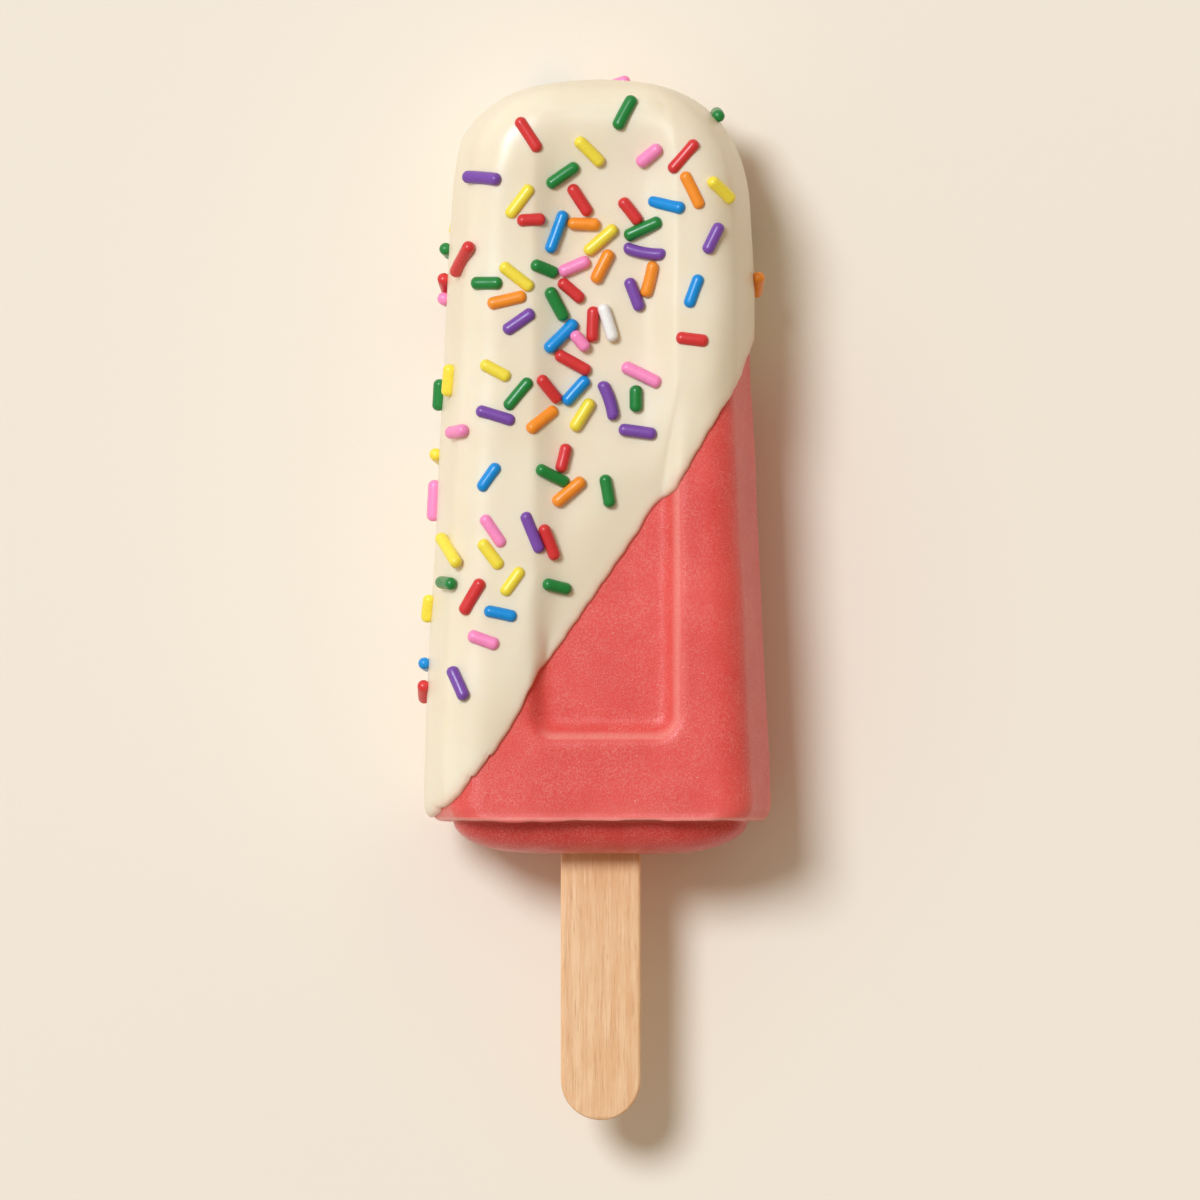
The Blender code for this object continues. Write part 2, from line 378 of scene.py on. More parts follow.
def foot_rings(section):
    """Rings over the flat underside of the lip, down the domed foot and into the stick's slot."""
    rays = np.stack([section[:, 0], 0 * section[:, 0], section[:, 1]], -1)
    rings = []
    for step in np.linspace(0, 1, 14):
        turn = (1 - step) * math.pi / 2
        half = [
            FOOT_END[k] + (FOOT_TOP[k] - FOOT_END[k]) * math.sin(turn) for k in (0, 1)
        ]
        flat = superellipse(rays, half, FOOT_SQUARENESS)
        y = np.full(len(rays), -FOOT_LENGTH * math.cos(turn))
        rings.append(np.stack([flat[:, 0], y, flat[:, 1]], -1))
    end = rings[-1]
    slot = superellipse(rays, (STICK_HALF_WIDTH + 0.05, STICK_HALF_THICKNESS + 0.05), 12.0)
    for share in (0.25, 0.5, 0.75, 0.93, 1.0):
        mixed = end[:, [0, 2]] * (1 - share) + slot * share
        swell = -0.12 * math.sin(math.pi * share)
        rings.append(np.stack([mixed[:, 0], end[:, 1] + swell, mixed[:, 1]], -1))
    rings.append(np.stack([slot[:, 0], end[:, 1] + 1.5, slot[:, 1]], -1))
    return rings


def painted_rim_highlight(x, y):
    """How strongly a highlight is painted along the panel's upper edge, 0 to 1. The left side, which faces
    away from the light, gets none.
    """
    into = panel_depth(x, y, 0.0, 1.0)
    return smoothstep(0.0, 0.12, into) * (1 - smoothstep(0.2, 0.75, into)) * smoothstep(-8.5, -6.0, x)


def make_bar(finish):
    section = section_directions(AROUND, SECTION_Y, 0.0, PANEL_DEPTH)
    along = np.repeat(bar_rows()[:, None], AROUND, axis=1)
    starts, rays = all_rays(section, along, fan(40))
    block = surface_from(starts, rays, 0.0, PANEL_DEPTH)
    keep = smoothstep(0.6, 2.5, block[..., 1:2])
    block = block * (1 - keep) + soften(block, rays, BAR_PASSES) * keep
    foot = foot_rings(section)
    lip = block[0]
    under = [lip + (foot[0] - lip) * share for share in (0.3, 0.65)]
    for ring, rise in zip(under, (0.22, 0.3)):
        ring[:, 1] += rise
    head = [ring for ring in reversed(foot)] + [ring for ring in reversed(under)]
    grid = np.concatenate([np.array(head), block])
    n = normals_of(grid)
    swell = layered(grid, BAR_SWELLS)
    swell += LIP_RIDGE * np.exp(-(((grid[..., 1] - 0.3) / 0.28) ** 2))
    on_lip = np.exp(-((grid[..., 1] / 0.5) ** 2))
    grid = grid + n * swell[..., None]
    grid[..., 1] += layered(grid * np.array([1, 0, 0.3]), LIP_WAVES) * on_lip
    rows = len(grid)
    faces = grid_faces(rows, AROUND)
    faces.append(tuple(reversed(range(AROUND))))
    faces.append(tuple(range((rows - 1) * AROUND, rows * AROUND)))
    bar = new_object("sorbet_bar", grid.reshape(-1, 3), faces, finish)
    face_out(bar)
    # The rim values mark where a highlight is painted along the panel's upper edge.
    add_values(bar, "rim", painted_rim_highlight(grid[..., 0], grid[..., 1]))
    return bar


def add_values(obj, name, values):
    """Stores one number for each point, for the material to read."""
    attribute = obj.data.attributes.new(name, "FLOAT", "POINT")
    attribute.data.foreach_set("value", np.asarray(values, np.float32).reshape(-1))


def face_out(obj):
    """Turns all faces of a closed mesh outwards."""
    bm = bmesh.new()
    bm.from_mesh(obj.data)
    bmesh.ops.recalc_face_normals(bm, faces=bm.faces)
    bm.to_mesh(obj.data)
    bm.free()


# ---------------------------------------------------------------- the white chocolate

COAT_AROUND = 440
COAT_PASSES = 100
FILL_PASSES = 30
COAT_WOBBLES = ((11, 12.0, 0.08), (12, 5.0, 0.03))
LEAST_COAT = 0.5  # the softened outer side stays at least this far out, along its rays
# Distances from the free edge of the coat's first rows.
EDGE_ROWS = (0, 0.015, 0.045, 0.09, 0.15, 0.23, 0.34, 0.48, 0.66, 0.9, 1.2, 1.6, 2.1, 2.7, 3.4, 4.2)
BEAD = 0.45  # height of the rounded edge
SUNK = 0.35  # how deep the shell's inner side lies in the bar
SUNK_STEP = 6  # the inner side keeps one row in so many


def dip_edge(section):
    """How far from the lip each line of the section meets the dip's edge, or 0 where it never does."""
    low = np.zeros(len(section))
    high = np.full(len(section), TIP_CENTRE)
    for _ in range(26):
        middle = (low + high) / 2
        at = surface_from(*spine_rays(section, middle), 0.0, PANEL_DEPTH)
        coated = dip_distance(at[:, 0], at[:, 1]) > 0
        high = np.where(coated, middle, high)
        low = np.where(coated, low, middle)
    return np.where(high < 0.01, 0.0, high)


def make_coat(finish):
    """The chocolate as a closed shell: its outer side, its edge, and an inner side sunk in the bar."""
    section = section_directions(COAT_AROUND, SECTION_Y, 0.0, PANEL_DEPTH)
    edge = dip_edge(section)
    reach = TIP_CENTRE - edge
    along = [edge + f for f in EDGE_ROWS]
    along += [along[-1] + (reach - EDGE_ROWS[-1]) * f for f in np.linspace(0, 1, 90)[1:]]
    starts, rays = all_rays(section, np.array(along), fan(36))
    inner = surface_from(starts, rays, 0.0, PANEL_DEPTH)
    outer = soften(surface_from(starts, rays, COAT, COAT_PANEL_DEPTH), rays, COAT_PASSES)
    out_by = np.sum((outer - inner) * rays, axis=-1, keepdims=True)
    outer = outer + rays * np.maximum(LEAST_COAT - out_by, 0)
    filled = soften(inner, rays, FILL_PASSES)
    n = smooth_normals(filled, 10)
    # Distance from the shell's free edge: the dip's edge, or the lip on the left.
    from_dip = np.maximum(dip_distance(inner[..., 0], inner[..., 1]), 0)
    from_lip = np.maximum(inner[..., 1], 0)
    off = np.minimum(from_dip, from_lip * 0.8)
    bead = np.sqrt(np.clip(1 - (1 - np.clip(off / BEAD, 0, 1)) ** 2, 0, 1))
    height = BEAD * bead + (COAT - BEAD) * (1 - np.exp(-off / 2.2))
    fill = smoothstep(0.3, 2.5, off)[..., None]
    near = inner * (1 - fill) + filled * fill + n * height[..., None]
    share = smoothstep(1.0, 7.0, off)[..., None]
    grown = near * (1 - share) + outer * share
    grown += n * (layered(grown, COAT_WOBBLES) * smoothstep(0.2, 3.0, off))[..., None]
    grown[0] = inner[0] - n[0] * 0.06
    sunk = (inner - n * SUNK)[::SUNK_STEP]
    rows = len(grown)
    base = rows * COAT_AROUND
    last = base + (len(sunk) - 1) * COAT_AROUND
    points = np.concatenate([grown.reshape(-1, 3), sunk.reshape(-1, 3)])
    points[:, 2] = np.maximum(points[:, 2], TABLE)
    faces = grid_faces(rows, COAT_AROUND)
    faces += grid_faces(len(sunk), COAT_AROUND, base, flip=True)
    for i in range(COAT_AROUND):
        j = (i + 1) % COAT_AROUND
        faces.append((base + i, base + j, j, i))
    faces.append(tuple(range(base - COAT_AROUND, base)))
    faces.append(tuple(reversed(range(last, last + COAT_AROUND))))
    coat = new_object("chocolate_coat", points, faces, finish)
    face_out(coat)
    thinness = np.exp(-off.reshape(-1) / 0.55)
    thinness = np.concatenate([thinness, np.ones(len(points) - len(thinness))])
    add_values(coat, "thinness", thinness)
    return coat


# ---------------------------------------------------------------- the stick

STICK_AROUND = 64
STICK_QUARTER = STICK_AROUND // 4
STICK_FLAT = 6  # steps of each quarter that cross a flat side
STICK_TURN = STICK_QUARTER - STICK_FLAT


def make_stick(finish):
    """A flat stick with round ends and softened edges."""
    near_end = [0.0, 0.02, 0.08, 0.18, 0.32, 0.5, 0.75, 1.05, 1.4, 1.85, 2.4, 3.0, 3.7, 4.4, 5.0]
    straight = np.linspace(5.0, STICK_LENGTH - 5.0, 60)[1:-1]
    along = near_end + list(straight) + [STICK_LENGTH - d for d in reversed(near_end)]
    rings = []
    for d in along:
        from_end = min(d, STICK_LENGTH - d)
        side = STICK_HALF_WIDTH
        if from_end < side:
            side = math.sqrt(max(side**2 - (side - from_end) ** 2, 0.0004))
        thick = STICK_HALF_THICKNESS
        if from_end < STICK_EDGE:
            thick -= STICK_EDGE * (1 - math.sqrt(1 - (1 - from_end / STICK_EDGE) ** 2))
        edge = min(STICK_EDGE, side * 0.9, thick * 0.9)
        ring = []
        for k in range(STICK_AROUND):
            corner, step = divmod(k, STICK_QUARTER)
            turn = math.pi / 2 * (corner + min(step / STICK_TURN, 1))
            sx = 1 if corner in (0, 3) else -1
            sz = 1 if corner in (0, 1) else -1
            x = sx * (side - edge) + edge * math.cos(turn)
            z = sz * (thick - edge) + edge * math.sin(turn)
            if step > STICK_TURN:
                share = (step - STICK_TURN) / STICK_FLAT
                nx = 1 if (corner + 1) % 4 in (0, 3) else -1
                nz = 1 if (corner + 1) % 4 in (0, 1) else -1
                x += (nx - sx) * (side - edge) * share
                z += (nz - sz) * (thick - edge) * share
            ring.append((x, d - STICK_SHOWS, z))
        rings.append(ring)
    grid = np.array(rings)
    faces = grid_faces(len(grid), STICK_AROUND)
    faces.append(tuple(reversed(range(STICK_AROUND))))
    faces.append(tuple(range((len(grid) - 1) * STICK_AROUND, len(grid) * STICK_AROUND)))
    stick = new_object("wooden_stick", grid.reshape(-1, 3), faces, finish)
    face_out(stick)
    return stick


# ---------------------------------------------------------------- the sprinkles

SPRINKLE_RADIUS = 0.8
SPRINKLE_SIDES = 18
SPRINKLE_RISE = 0.42  # height of its centre line over the chocolate
SPRINKLE_PROUD = 0.6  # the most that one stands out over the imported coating's top
BOWED = {(5.5, 70.9): 0.3, (1.0, 52.4): -0.26, (6.2, 67.5): 0.1}  # (X, Y) of the bent ones: their bow
LIFT = 0.12  # one step up where a sprinkle crosses another
RAY_START = 40.0  # outside the face and the sides
TIP_RAY_START = 130.0  # outside the tip
SPRINKLE_COLOURS = {
    "red": (216, 50, 50),
    "orange": (250, 146, 38),
    "yellow": (246, 222, 66),
    "green": (24, 128, 54),
    "blue": (0, 140, 216),
    "purple": (122, 72, 164),
    "pink": (252, 140, 192),
    "white": (243, 239, 233),
}

# Sprinkles on the face, as (X, Y, angle from X in degrees, length).
ON_FACE = {
    "red": (
        (-9.0, 85.5, -57, 5.0), (10.3, 82.8, 49, 5.2), (-2.6, 77.4, -57, 4.5), (-8.7, 74.9, 3, 3.6),
        (3.7, 76.0, -52, 4.0), (-3.7, 66.1, -41, 4.0), (-16.9, 70.0, 62, 4.4), (-1.0, 61.9, 88, 4.5),
        (11.4, 60.0, -7, 4.1), (-3.5, 57.1, -29, 5.0), (-6.6, 53.8, -51, 4.1), (-4.7, 45.2, 76, 3.7),
        (-6.6, 34.7, -69, 4.7), (-15.9, 27.9, 60, 5.0),
    ),
    "orange": (
        (11.4, 78.6, -64, 5.1), (-2.1, 74.4, -2, 4.1), (0.2, 69.1, 63, 4.6), (6.2, 67.5, 76, 4.6),
        (-11.7, 64.9, 13, 5.0), (-7.5, 50.0, 39, 4.6), (-4.0, 41.0, 40, 5.0),
    ),
    "yellow": (
        (-1.4, 83.5, -45, 4.7), (14.8, 78.6, -43, 4.1), (-10.1, 77.2, 53, 5.0), (0.0, 72.4, 41, 5.2),
        (-10.5, 67.8, -38, 5.1), (-13.1, 56.1, -28, 4.2), (-18.6, 54.9, 58, 4.1), (-2.3, 50.6, 58, 4.6),
        (-18.6, 33.7, -58, 4.7), (-13.7, 33.2, -53, 4.4), (-11.0, 29.8, 54, 4.2),
    ),
    "green": (
        (3.0, 88.2, 62, 4.7), (-4.8, 80.5, 35, 4.7), (5.3, 73.8, 24, 5.1), (-7.2, 68.8, -22, 3.5),
        (-14.1, 67.0, 0, 3.9), (-5.6, 64.4, -62, 4.6), (-10.3, 53.2, 50, 4.9), (4.4, 52.6, 90, 3.4),
        (-6.2, 43.0, -27, 4.4), (0.8, 41.1, -80, 4.2), (-18.9, 29.6, -8, 3.4), (-5.6, 29.2, -14, 3.6),
    ),
    "blue": (
        (-5.6, 73.4, 70, 5.6), (8.4, 76.8, -14, 4.6), (-5.0, 60.4, 45, 5.4), (11.6, 66.0, 70, 4.4),
        (-3.1, 53.6, 48, 4.5), (-13.9, 42.8, 55, 4.1), (-12.5, 25.8, -12, 4.2),
    ),
    "purple": (
        (-14.6, 80.1, -5, 4.6), (5.5, 70.9, -10, 5.4), (13.9, 72.6, 64, 4.2), (4.2, 65.6, -69, 4.4),
        (-10.2, 62.2, 35, 4.6), (1.0, 52.4, -72, 5.1), (-13.1, 50.5, -17, 5.1), (4.6, 48.5, -8, 4.8),
        (-8.6, 35.9, -68, 5.5), (-17.6, 17.1, -66, 4.5),
    ),
    "pink": (
        (6.1, 83.0, 39, 3.7), (-3.3, 69.1, 23, 4.2), (-2.6, 59.8, -50, 3.0), (5.1, 55.6, -26, 5.4),
        (-17.6, 48.5, 10, 2.9), (-13.4, 36.1, -56, 4.7), (-14.6, 22.5, -20, 4.1),
    ),
    "white": ((0.9, 62.1, -73, 4.9),),
}

# Sprinkles on the sides, as (side, Y, Z, angle from Y in degrees, length), side -1 being the left.
ON_SIDES = {
    "red": ((-1, 67.0, -1.5, 65, 4.2), (-1, 16.0, -0.4, 60, 4.3), (-1, 58.5, -6.0, 20, 4.6)),
    "orange": ((1, 66.9, -0.6, 55, 4.4), (-1, 34.0, -7.5, 40, 4.5), (-1, 12.5, -7.6, -35, 4.3)),
    "yellow": ((-1, 45.4, -2.0, 80, 4.4), (-1, 26.4, 0.9, 15, 3.6), (-1, 75.0, -5.8, -30, 4.4)),
    "green": ((-1, 71.1, -2.0, 80, 4.4), (-1, 53.1, 0.6, 4, 4.0), (1, 73.0, -8.0, 25, 4.2)),
    "blue": ((-1, 19.4, -1.0, 84, 4.2), (-1, 49.5, -7.6, -30, 4.6)),
    "purple": ((-1, 63.0, -7.6, 30, 4.6), (-1, 23.0, -7.8, 10, 4.5)),
    "pink": ((-1, 65.0, -2.5, 85, 4.4), (-1, 39.9, -0.3, 0, 5.2), (1, 79.5, -8.0, -20, 4.3)),
}

# Sprinkles on the tip, as (X, Z, angle from X in degrees, length).
ON_TIP = {
    "pink": ((2.4, -6.9, 56, 3.4),),
    "green": ((14.3, 0.3, 78, 4.0),),
    "blue": ((-6.0, -9.6, 10, 4.4),),
}


def sprinkle_rings(length, bend):
    """Rings of a sugar strand along X, with round ends and a bow."""
    half = length / 2
    cap = SPRINKLE_RADIUS * 0.92
    ends = [1 - math.cos(math.pi / 2 * k / 8) for k in range(9)]
    offsets = [-half + cap * e for e in ends]
    offsets += list(np.linspace(-half + cap, half - cap, 8)[1:-1])
    offsets += [half - cap * e for e in reversed(ends)]
    rings = []
    for x in offsets:
        into = min(half - abs(x), cap) / cap
        radius = SPRINKLE_RADIUS * max(1 - (1 - into) ** 2.15, 0.0) ** 0.5
        radius = max(radius, 0.02)
        bow = bend * ((x / half) ** 2 - 0.4)
        turn = np.linspace(0, 2 * math.pi, SPRINKLE_SIDES, endpoint=False)
        ring = np.stack([np.full_like(turn, x), bow + radius * np.cos(turn), radius * np.sin(turn)], -1)
        rings.append(ring)
    return np.array(rings)


def axis_points(centre, direction, length):
    """Points along a sprinkle's centre line."""
    reach = (length / 2 - SPRINKLE_RADIUS) * np.linspace(-1, 1, 7)
    return centre + reach[:, None] * direction


def held_down(centre, direction, length):
    """A sprinkle's centre, lowered where its higher end would stand out too far over the coating."""
    rise = SPRINKLE_RADIUS + abs(direction[2]) * (length / 2 - SPRINKLE_RADIUS)
    return np.array([centre[0], centre[1], min(centre[2], CAD_TOP + SPRINKLE_PROUD - rise)])


def lay_sprinkle(hit, n, direction, length, placed):
    """Places a sprinkle on the surface, lifted where it crosses another.

    Its length and its direction, where that is level, are those seen from above."""
    n = np.array(n.normalized())
    direction = np.array(direction, float)
    if direction[2] == 0 and n[2] > 0.3:
        direction[2] = -np.dot(direction, n) / n[2]
        length *= min(np.linalg.norm(direction), 1.5)
    direction -= n * np.dot(direction, n)
    direction /= np.linalg.norm(direction)
    centre = (np.array(hit) - np.array(ORIGIN)) / MM + n * SPRINKLE_RISE
    centre = held_down(centre, direction, length)
    for _ in range(12):
        own = axis_points(centre, direction, length)
        gaps = [np.linalg.norm(own[:, None] - other[None], axis=-1).min() for other in placed]
        if not gaps or min(gaps) > SPRINKLE_RADIUS * 1.8:
            break
        centre = held_down(centre + n * LIFT, direction, length)
    placed.append(axis_points(centre, direction, length))
    return centre, direction, n, length


def add_sprinkle(points, faces, centre, direction, n, length, bend, rng):
    """Adds one sprinkle's mesh to the lists."""
    side = np.cross(n, direction)
    grid = sprinkle_rings(length, bend + rng.uniform(-0.05, 0.05))
    size = 1 + rng.uniform(-0.05, 0.03)
    grid[..., 1:] *= size
    world = centre + grid[..., 0:1] * direction + grid[..., 1:2] * side + grid[..., 2:3] * n
    world += Noise(21)(world, 1.2)[..., None] * n * 0.02
    base = sum(len(p) for p in points)
    rows = len(grid)
    points.append(world.reshape(-1, 3))
    faces += grid_faces(rows, SPRINKLE_SIDES, base)
    faces.append(tuple(base + i for i in reversed(range(SPRINKLE_SIDES))))
    faces.append(tuple(base + (rows - 1) * SPRINKLE_SIDES + i for i in range(SPRINKLE_SIDES)))


def make_sprinkles(coat):
    """One piece for each colour, its sprinkles laid on the chocolate by rays from outside."""
    mesh = coat.data
    tree = BVHTree.FromPolygons([v.co for v in mesh.vertices], [list(p.vertices) for p in mesh.polygons])
    rng = random.Random(7)
    placed = []
    pieces = {}
    for colour, value in SPRINKLE_COLOURS.items():
        points, faces = [], []
        spots = []
        for x, y, angle, length in ON_FACE.get(colour, ()):
            turn = math.radians(angle)
            spots.append(((x, y, RAY_START), (0, 0, -1), (math.cos(turn), math.sin(turn), 0), length))
        for side, y, z, angle, length in ON_SIDES.get(colour, ()):
            turn = math.radians(angle)
            run = (0, math.cos(turn), math.sin(turn))
            spots.append(((side * RAY_START, y, z), (-side, 0, 0), run, length))
        for x, z, angle, length in ON_TIP.get(colour, ()):
            turn = math.radians(angle)
            run = (math.cos(turn), 0, math.sin(turn))
            spots.append(((x, TIP_RAY_START, z), (0, -1, 0), run, length))
        for start, look, direction, length in spots:
            hit, n, _, _ = tree.ray_cast(Vector(start) * MM + ORIGIN, Vector(look))
            centre, run, up, length = lay_sprinkle(hit, n, direction, length, placed)
            bend = BOWED.get((start[0], start[1]), 0.0)
            add_sprinkle(points, faces, centre, run, up, length, bend, rng)
        finish = sprinkle_material(colour, value)
        piece = new_object(f"sprinkles_{colour}", np.concatenate(points), faces, finish)
        face_out(piece)
        pieces[colour] = piece
    return pieces


# ---------------------------------------------------------------- materials

def new_material(name, **values):
    made = bpy.data.materials.new(name)
    made.use_nodes = True
    shader = made.node_tree.nodes["Principled BSDF"]
    for socket, value in values.items():
        shader.inputs[socket.replace("_", " ")].default_value = value
    return made, made.node_tree, shader


def node(tree, kind, **settings):
    made = tree.nodes.new(kind)
    for name, value in settings.items():
        if name in made.inputs:
            made.inputs[name].default_value = value
        else:
            setattr(made, name, value)
    return made


def srgb(red, green, blue):
    """A colour given in 0 to 255 as an sRGB value."""
    linear = [
        c / 12.92 if c <= 0.04045 else ((c + 0.055) / 1.055) ** 2.4
        for c in (red / 255, green / 255, blue / 255)
    ]
    return (*linear, 1)


def coordinates(tree, scale=(1, 1, 1)):
    """Object coordinates in millimetres, stretched by scale."""
    place = node(tree, "ShaderNodeTexCoord")
    stretch = node(tree, "ShaderNodeMapping")
    stretch.inputs["Scale"].default_value = [c / MM for c in scale]
    tree.links.new(place.outputs["Object"], stretch.inputs["Vector"])
    return stretch.outputs["Vector"]


def noise_node(tree, where, size, detail=3.0, roughness=0.5):
    made = node(tree, "ShaderNodeTexNoise", Scale=1 / size, Detail=detail, Roughness=roughness)
    tree.links.new(where, made.inputs["Vector"])
    return made.outputs["Fac"]


def ramp(tree, value, *stops):
    made = node(tree, "ShaderNodeValToRGB")
    elements = made.color_ramp.elements
    while len(elements) < len(stops):
        elements.new(0.5)
    for element, (place, colour) in zip(elements, stops):
        element.position = place
        element.color = colour if len(colour) == 4 else (*colour, 1)
    tree.links.new(value, made.inputs["Fac"])
    return made.outputs["Color"]


def remap(tree, value, low, high, to_low=0.0, to_high=1.0):
    made = node(tree, "ShaderNodeMapRange")
    for socket, number in zip(("From Min", "From Max", "To Min", "To Max"), (low, high, to_low, to_high)):
        made.inputs[socket].default_value = number
    tree.links.new(value, made.inputs["Value"])
    return made.outputs["Result"]


def mix(tree, share, first, second, blend="MIX"):
    made = node(tree, "ShaderNodeMix", data_type="RGBA", blend_type=blend)
    for socket, value in ((made.inputs[0], share), (made.inputs[6], first), (made.inputs[7], second)):
        if hasattr(value, "is_output"):
            tree.links.new(value, socket)
        else:
            socket.default_value = value
    return made.outputs[2]


def maths(tree, operation, first, second):
    made = node(tree, "ShaderNodeMath", operation=operation)
    for socket, value in zip(made.inputs, (first, second)):
        if hasattr(value, "is_output"):
            tree.links.new(value, socket)
        else:
            socket.default_value = value
    return made.outputs[0]


def bump(tree, shader, height, distance, strength=1.0):
    made = node(tree, "ShaderNodeBump", Strength=strength, Distance=distance * MM)
    tree.links.new(height, made.inputs["Height"])
    tree.links.new(made.outputs["Normal"], shader.inputs["Normal"])


def set_glow(shader, weight, radius, scale):
    """Light that spreads under the surface; scale is in millimetres."""
    shader.inputs["Subsurface Weight"].default_value = weight
    shader.inputs["Subsurface Radius"].default_value = radius
    shader.inputs["Subsurface Scale"].default_value = scale * MM


def from_lip(tree):
    """Distance along the bar from its lip, in millimetres."""
    parts = node(tree, "ShaderNodeSeparateXYZ")
    tree.links.new(coordinates(tree), parts.inputs["Vector"])
    return maths(tree, "SUBTRACT", parts.outputs["Y"], ORIGIN.y / MM)


def sorbet_material():
    """Frozen fruit: a wet red with fine frosty grain, frostier towards the foot's end, and specks of ice
    drawn as painted glints.

    Painted shade darkens the foot under the lip, a pale lip line is partly frosty and partly painted
    highlight, and a highlight is painted along the panel's lit upper edge.
    """
    made, tree, shader = new_material("sorbet", Roughness=0.34, Specular_IOR_Level=0.4)
    set_glow(shader, 0.15, (1.0, 0.35, 0.3), 1.0)
    shader.inputs["Sheen Weight"].default_value = 0.15
    shader.inputs["Sheen Roughness"].default_value = 0.4
    shader.inputs["Sheen Tint"].default_value = (1.0, 0.8, 0.76, 1)
    where = coordinates(tree)
    broad = noise_node(tree, where, 9.0, 2)
    body = ramp(tree, broad, (0.3, srgb(222, 69, 63)), (0.7, srgb(232, 81, 73)))
    wrinkle = noise_node(tree, where, 0.2, 2, 0.6)
    patches = remap(tree, noise_node(tree, where, 3.6, 3), 0.36, 0.62)
    grain = remap(tree, wrinkle, 0.42, 0.7)
    cover = remap(tree, patches, 0.0, 1.0, 0.18, 0.38)
    frost_and_painted_highlight = maths(tree, "MULTIPLY", grain, cover)
    along = from_lip(tree)
    # Painted shade: the foot under the lip is a darker red.
    body = mix(tree, remap(tree, along, 0.0, -0.3, 0.0, 0.75), body, srgb(204, 56, 54))
    # A pale line on the lip and a faint pale band above it, partly frosty flash and partly painted highlight.
    off_lip = maths(tree, "ABSOLUTE", maths(tree, "SUBTRACT", along, 0.15), 0.0)
    lip = remap(tree, off_lip, 0.06, 0.4, 0.6, 0.0)
    lip = maths(tree, "MAXIMUM", lip, remap(tree, along, 2.4, 0.4, 0.0, 0.14))
    lip = maths(tree, "MULTIPLY", lip, maths(tree, "GREATER_THAN", along, -0.35))
    foot = maths(tree, "MULTIPLY", remap(tree, along, -2.9, -4.2, 0.0, 0.8), patches)
    foot = maths(tree, "MULTIPLY", foot, remap(tree, wrinkle, 0.35, 0.6, 0.3, 1.0))
    frost_and_painted_highlight = maths(tree, "MAXIMUM", frost_and_painted_highlight, maths(tree, "MAXIMUM", lip, foot))
    # Painted highlight along the panel's lit upper edge, speckled by the wrinkles.
    rim = node(tree, "ShaderNodeAttribute", attribute_name="rim")
    rim = maths(tree, "MULTIPLY", rim.outputs["Fac"], remap(tree, wrinkle, 0.3, 0.65, 0.3, 0.6))
    frost_and_painted_highlight = maths(tree, "MAXIMUM", frost_and_painted_highlight, rim)
    tinted = mix(tree, frost_and_painted_highlight, body, srgb(248, 170, 158))
    # Specks of ice drawn as small painted glints: a few pale dots in the base colour.
    crystal_glints = node(tree, "ShaderNodeTexVoronoi", Scale=1 / 1.3)
    tree.links.new(where, crystal_glints.inputs["Vector"])
    small = maths(tree, "LESS_THAN", crystal_glints.outputs["Distance"], 0.055)
    pick = maths(tree, "GREATER_THAN", crystal_glints.outputs["Color"], 0.7)
    glint = maths(tree, "MULTIPLY", maths(tree, "MULTIPLY", small, pick), 0.6)
    tree.links.new(mix(tree, glint, tinted, srgb(255, 226, 218)), shader.inputs["Base Color"])
    tree.links.new(remap(tree, wrinkle, 0.35, 0.7, 0.42, 0.3), shader.inputs["Roughness"])
    bump(tree, shader, wrinkle, 0.1, 0.45)
    return made


def chocolate_material():
    """White chocolate with a satin skin, which lets the red through at its thin edge."""
    made, tree, shader = new_material("white_chocolate", Roughness=0.32, Specular_IOR_Level=0.6)
    set_glow(shader, 0.35, (1.0, 0.75, 0.45), 1.2)
    where = coordinates(tree)
    broad = noise_node(tree, where, 12.0, 2)
    body = ramp(tree, broad, (0.35, srgb(239, 223, 195)), (0.65, srgb(242, 229, 205)))
    thin = node(tree, "ShaderNodeAttribute", attribute_name="thinness")
    share = remap(tree, thin.outputs["Fac"], 0.1, 1.0, 0.0, 0.75)
    tree.links.new(mix(tree, share, body, srgb(232, 160, 140)), shader.inputs["Base Color"])
    fine = noise_node(tree, where, 2.4, 3)
    tree.links.new(remap(tree, fine, 0.3, 0.7, 0.29, 0.38), shader.inputs["Roughness"])
    bump(tree, shader, fine, 0.03, 0.3)
    return made


def stick_material():
    """Sanded birch with a lengthwise grain, a few dark fibres and cloudy patches."""
    made, tree, shader = new_material("birch", Roughness=0.55)
    set_glow(shader, 0.08, (1.0, 0.6, 0.35), 0.5)
    bands = noise_node(tree, coordinates(tree, (1, 0.035, 1)), 1.5, 4, 0.6)
    streaks = noise_node(tree, coordinates(tree, (1, 0.05, 1)), 0.2, 3, 0.65)
    cloud = noise_node(tree, coordinates(tree, (1, 0.5, 1)), 5.0, 3, 0.6)
    body = ramp(tree, bands, (0.3, srgb(226, 172, 122)), (0.7, srgb(247, 206, 162)))
    body = mix(tree, remap(tree, cloud, 0.4, 0.62, 0.0, 0.6), body, srgb(226, 170, 118))
    body = mix(tree, remap(tree, streaks, 0.55, 0.72, 0.0, 0.55), body, srgb(196, 134, 86))
    body = mix(tree, remap(tree, streaks, 0.45, 0.28, 0.0, 0.5), body, srgb(252, 220, 182))
    tree.links.new(body, shader.inputs["Base Color"])
    tree.links.new(remap(tree, streaks, 0.3, 0.7, 0.5, 0.62), shader.inputs["Roughness"])
    bump(tree, shader, streaks, 0.08, 0.5)
    return made


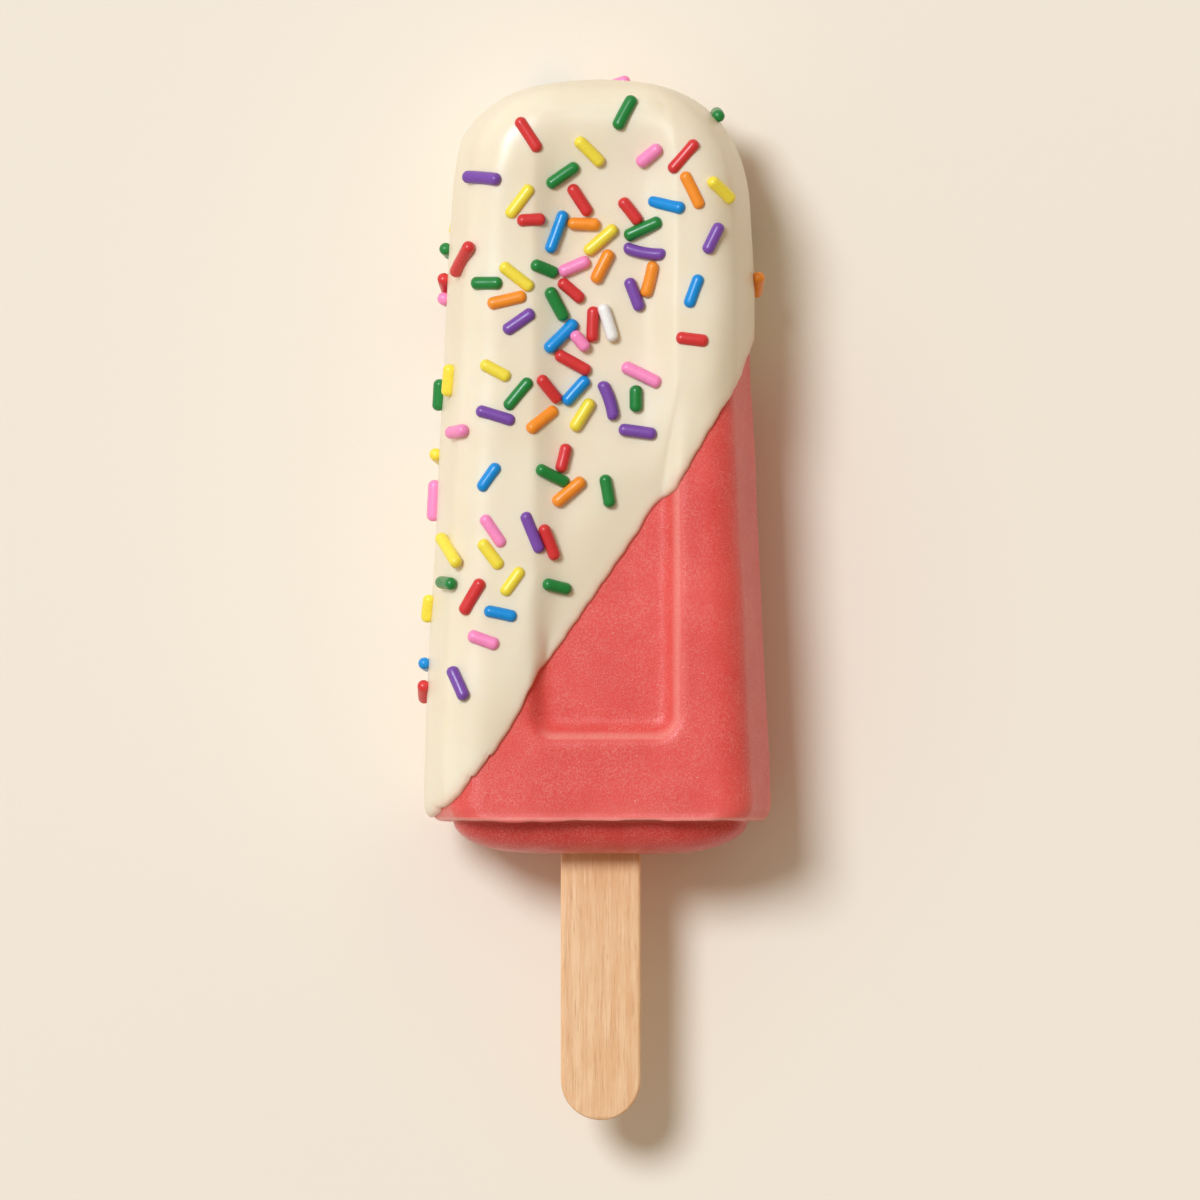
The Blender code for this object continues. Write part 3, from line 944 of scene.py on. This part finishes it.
def sprinkle_material(name, colour):
    """A sugar strand with a satin skin and faint mottling."""
    made, tree, shader = new_material(f"sprinkle_{name}", Roughness=0.3)
    where = coordinates(tree)
    mottle = noise_node(tree, where, 0.4, 2, 0.5)
    dark = srgb(*(c * 0.985 for c in colour))
    light = srgb(*(min(c * 1.01 + 2, 255) for c in colour))
    tree.links.new(ramp(tree, mottle, (0.35, dark), (0.65, light)), shader.inputs["Base Color"])
    tree.links.new(remap(tree, mottle, 0.3, 0.7, 0.36, 0.26), shader.inputs["Roughness"])
    bump(tree, shader, mottle, 0.02, 0.4)
    return made


# ---------------------------------------------------------------- camera, light and floor

# In metres, apart from the view's centre, which is in millimetres in the bar's frame.
VIEW_WIDTH = 0.150
VIEW_HEIGHT = 5.0
VIEW_CENTRE = (-0.1, 27.5)
KEY_AIM = (-0.44, 0.42, 1.0)
KEY_DISTANCE = 6.0
KEY_SIZE = 2.0
KEY_ENERGY = 291
KEY_COLOUR = (0.833, 0.917, 1.0)
FILL_AIM = (-0.8, 0.6, 0.0)
FILL_FAR = (0.27, 0.18, 0.085, 1)
FILL_NEAR = (0.56, 0.54, 0.50, 1)
FLOOR_HALF = 3.0
FLOOR_COLOUR = (243, 232, 216)


def add_camera():
    data = bpy.data.cameras.new("camera")
    data.sensor_width = 36
    data.lens = data.sensor_width * VIEW_HEIGHT / VIEW_WIDTH
    camera = bpy.data.objects.new("camera", data)
    camera.location = ORIGIN + Vector((VIEW_CENTRE[0] * MM, VIEW_CENTRE[1] * MM, VIEW_HEIGHT))
    bpy.context.scene.collection.objects.link(camera)
    bpy.context.scene.camera = camera


def add_key():
    data = bpy.data.lights.new("key", "AREA")
    data.shape = "DISK"
    data.size = KEY_SIZE
    data.energy = KEY_ENERGY
    data.color = KEY_COLOUR
    key = bpy.data.objects.new("key", data)
    aim = Vector(KEY_AIM).normalized()
    key.location = aim * KEY_DISTANCE
    key.rotation_euler = aim.to_track_quat("Z", "Y").to_euler()
    bpy.context.scene.collection.objects.link(key)


def add_world():
    """A fill that is whiter and stronger from the key's side than from the far side."""
    world = bpy.data.worlds.new("studio")
    world.use_nodes = True
    tree = world.node_tree
    place = node(tree, "ShaderNodeTexCoord")
    side = node(tree, "ShaderNodeVectorMath", operation="DOT_PRODUCT")
    side.inputs[1].default_value = FILL_AIM
    tree.links.new(place.outputs["Generated"], side.inputs[0])
    share = remap(tree, side.outputs["Value"], -1.0, 1.0)
    fill = mix(tree, share, FILL_FAR, FILL_NEAR)
    tree.links.new(fill, tree.nodes["Background"].inputs["Color"])
    bpy.context.scene.world = world


def add_floor():
    mesh = bpy.data.meshes.new("floor")
    corners = [(x * FLOOR_HALF, y * FLOOR_HALF, 0) for x, y in ((-1, -1), (1, -1), (1, 1), (-1, 1))]
    mesh.from_pydata(corners, [], [(0, 1, 2, 3)])
    made, tree, shader = new_material("floor", Roughness=0.9)
    shader.inputs["Base Color"].default_value = srgb(*FLOOR_COLOUR)
    shader.inputs["Specular IOR Level"].default_value = 0.0
    mesh.materials.append(made)
    floor = bpy.data.objects.new("floor", mesh)
    bpy.context.scene.collection.objects.link(floor)


add_camera()
add_key()
add_world()
add_floor()

bar = make_bar(sorbet_material())
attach(bar, "root")
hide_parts("sorbet")

coat = make_coat(chocolate_material())
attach(coat, "root")
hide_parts("coating")

stick = make_stick(stick_material())
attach(stick, "root")
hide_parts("stick")

for colour, piece in make_sprinkles(coat).items():
    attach(piece, "root")

bpy.context.scene.view_settings.view_transform = "Standard"
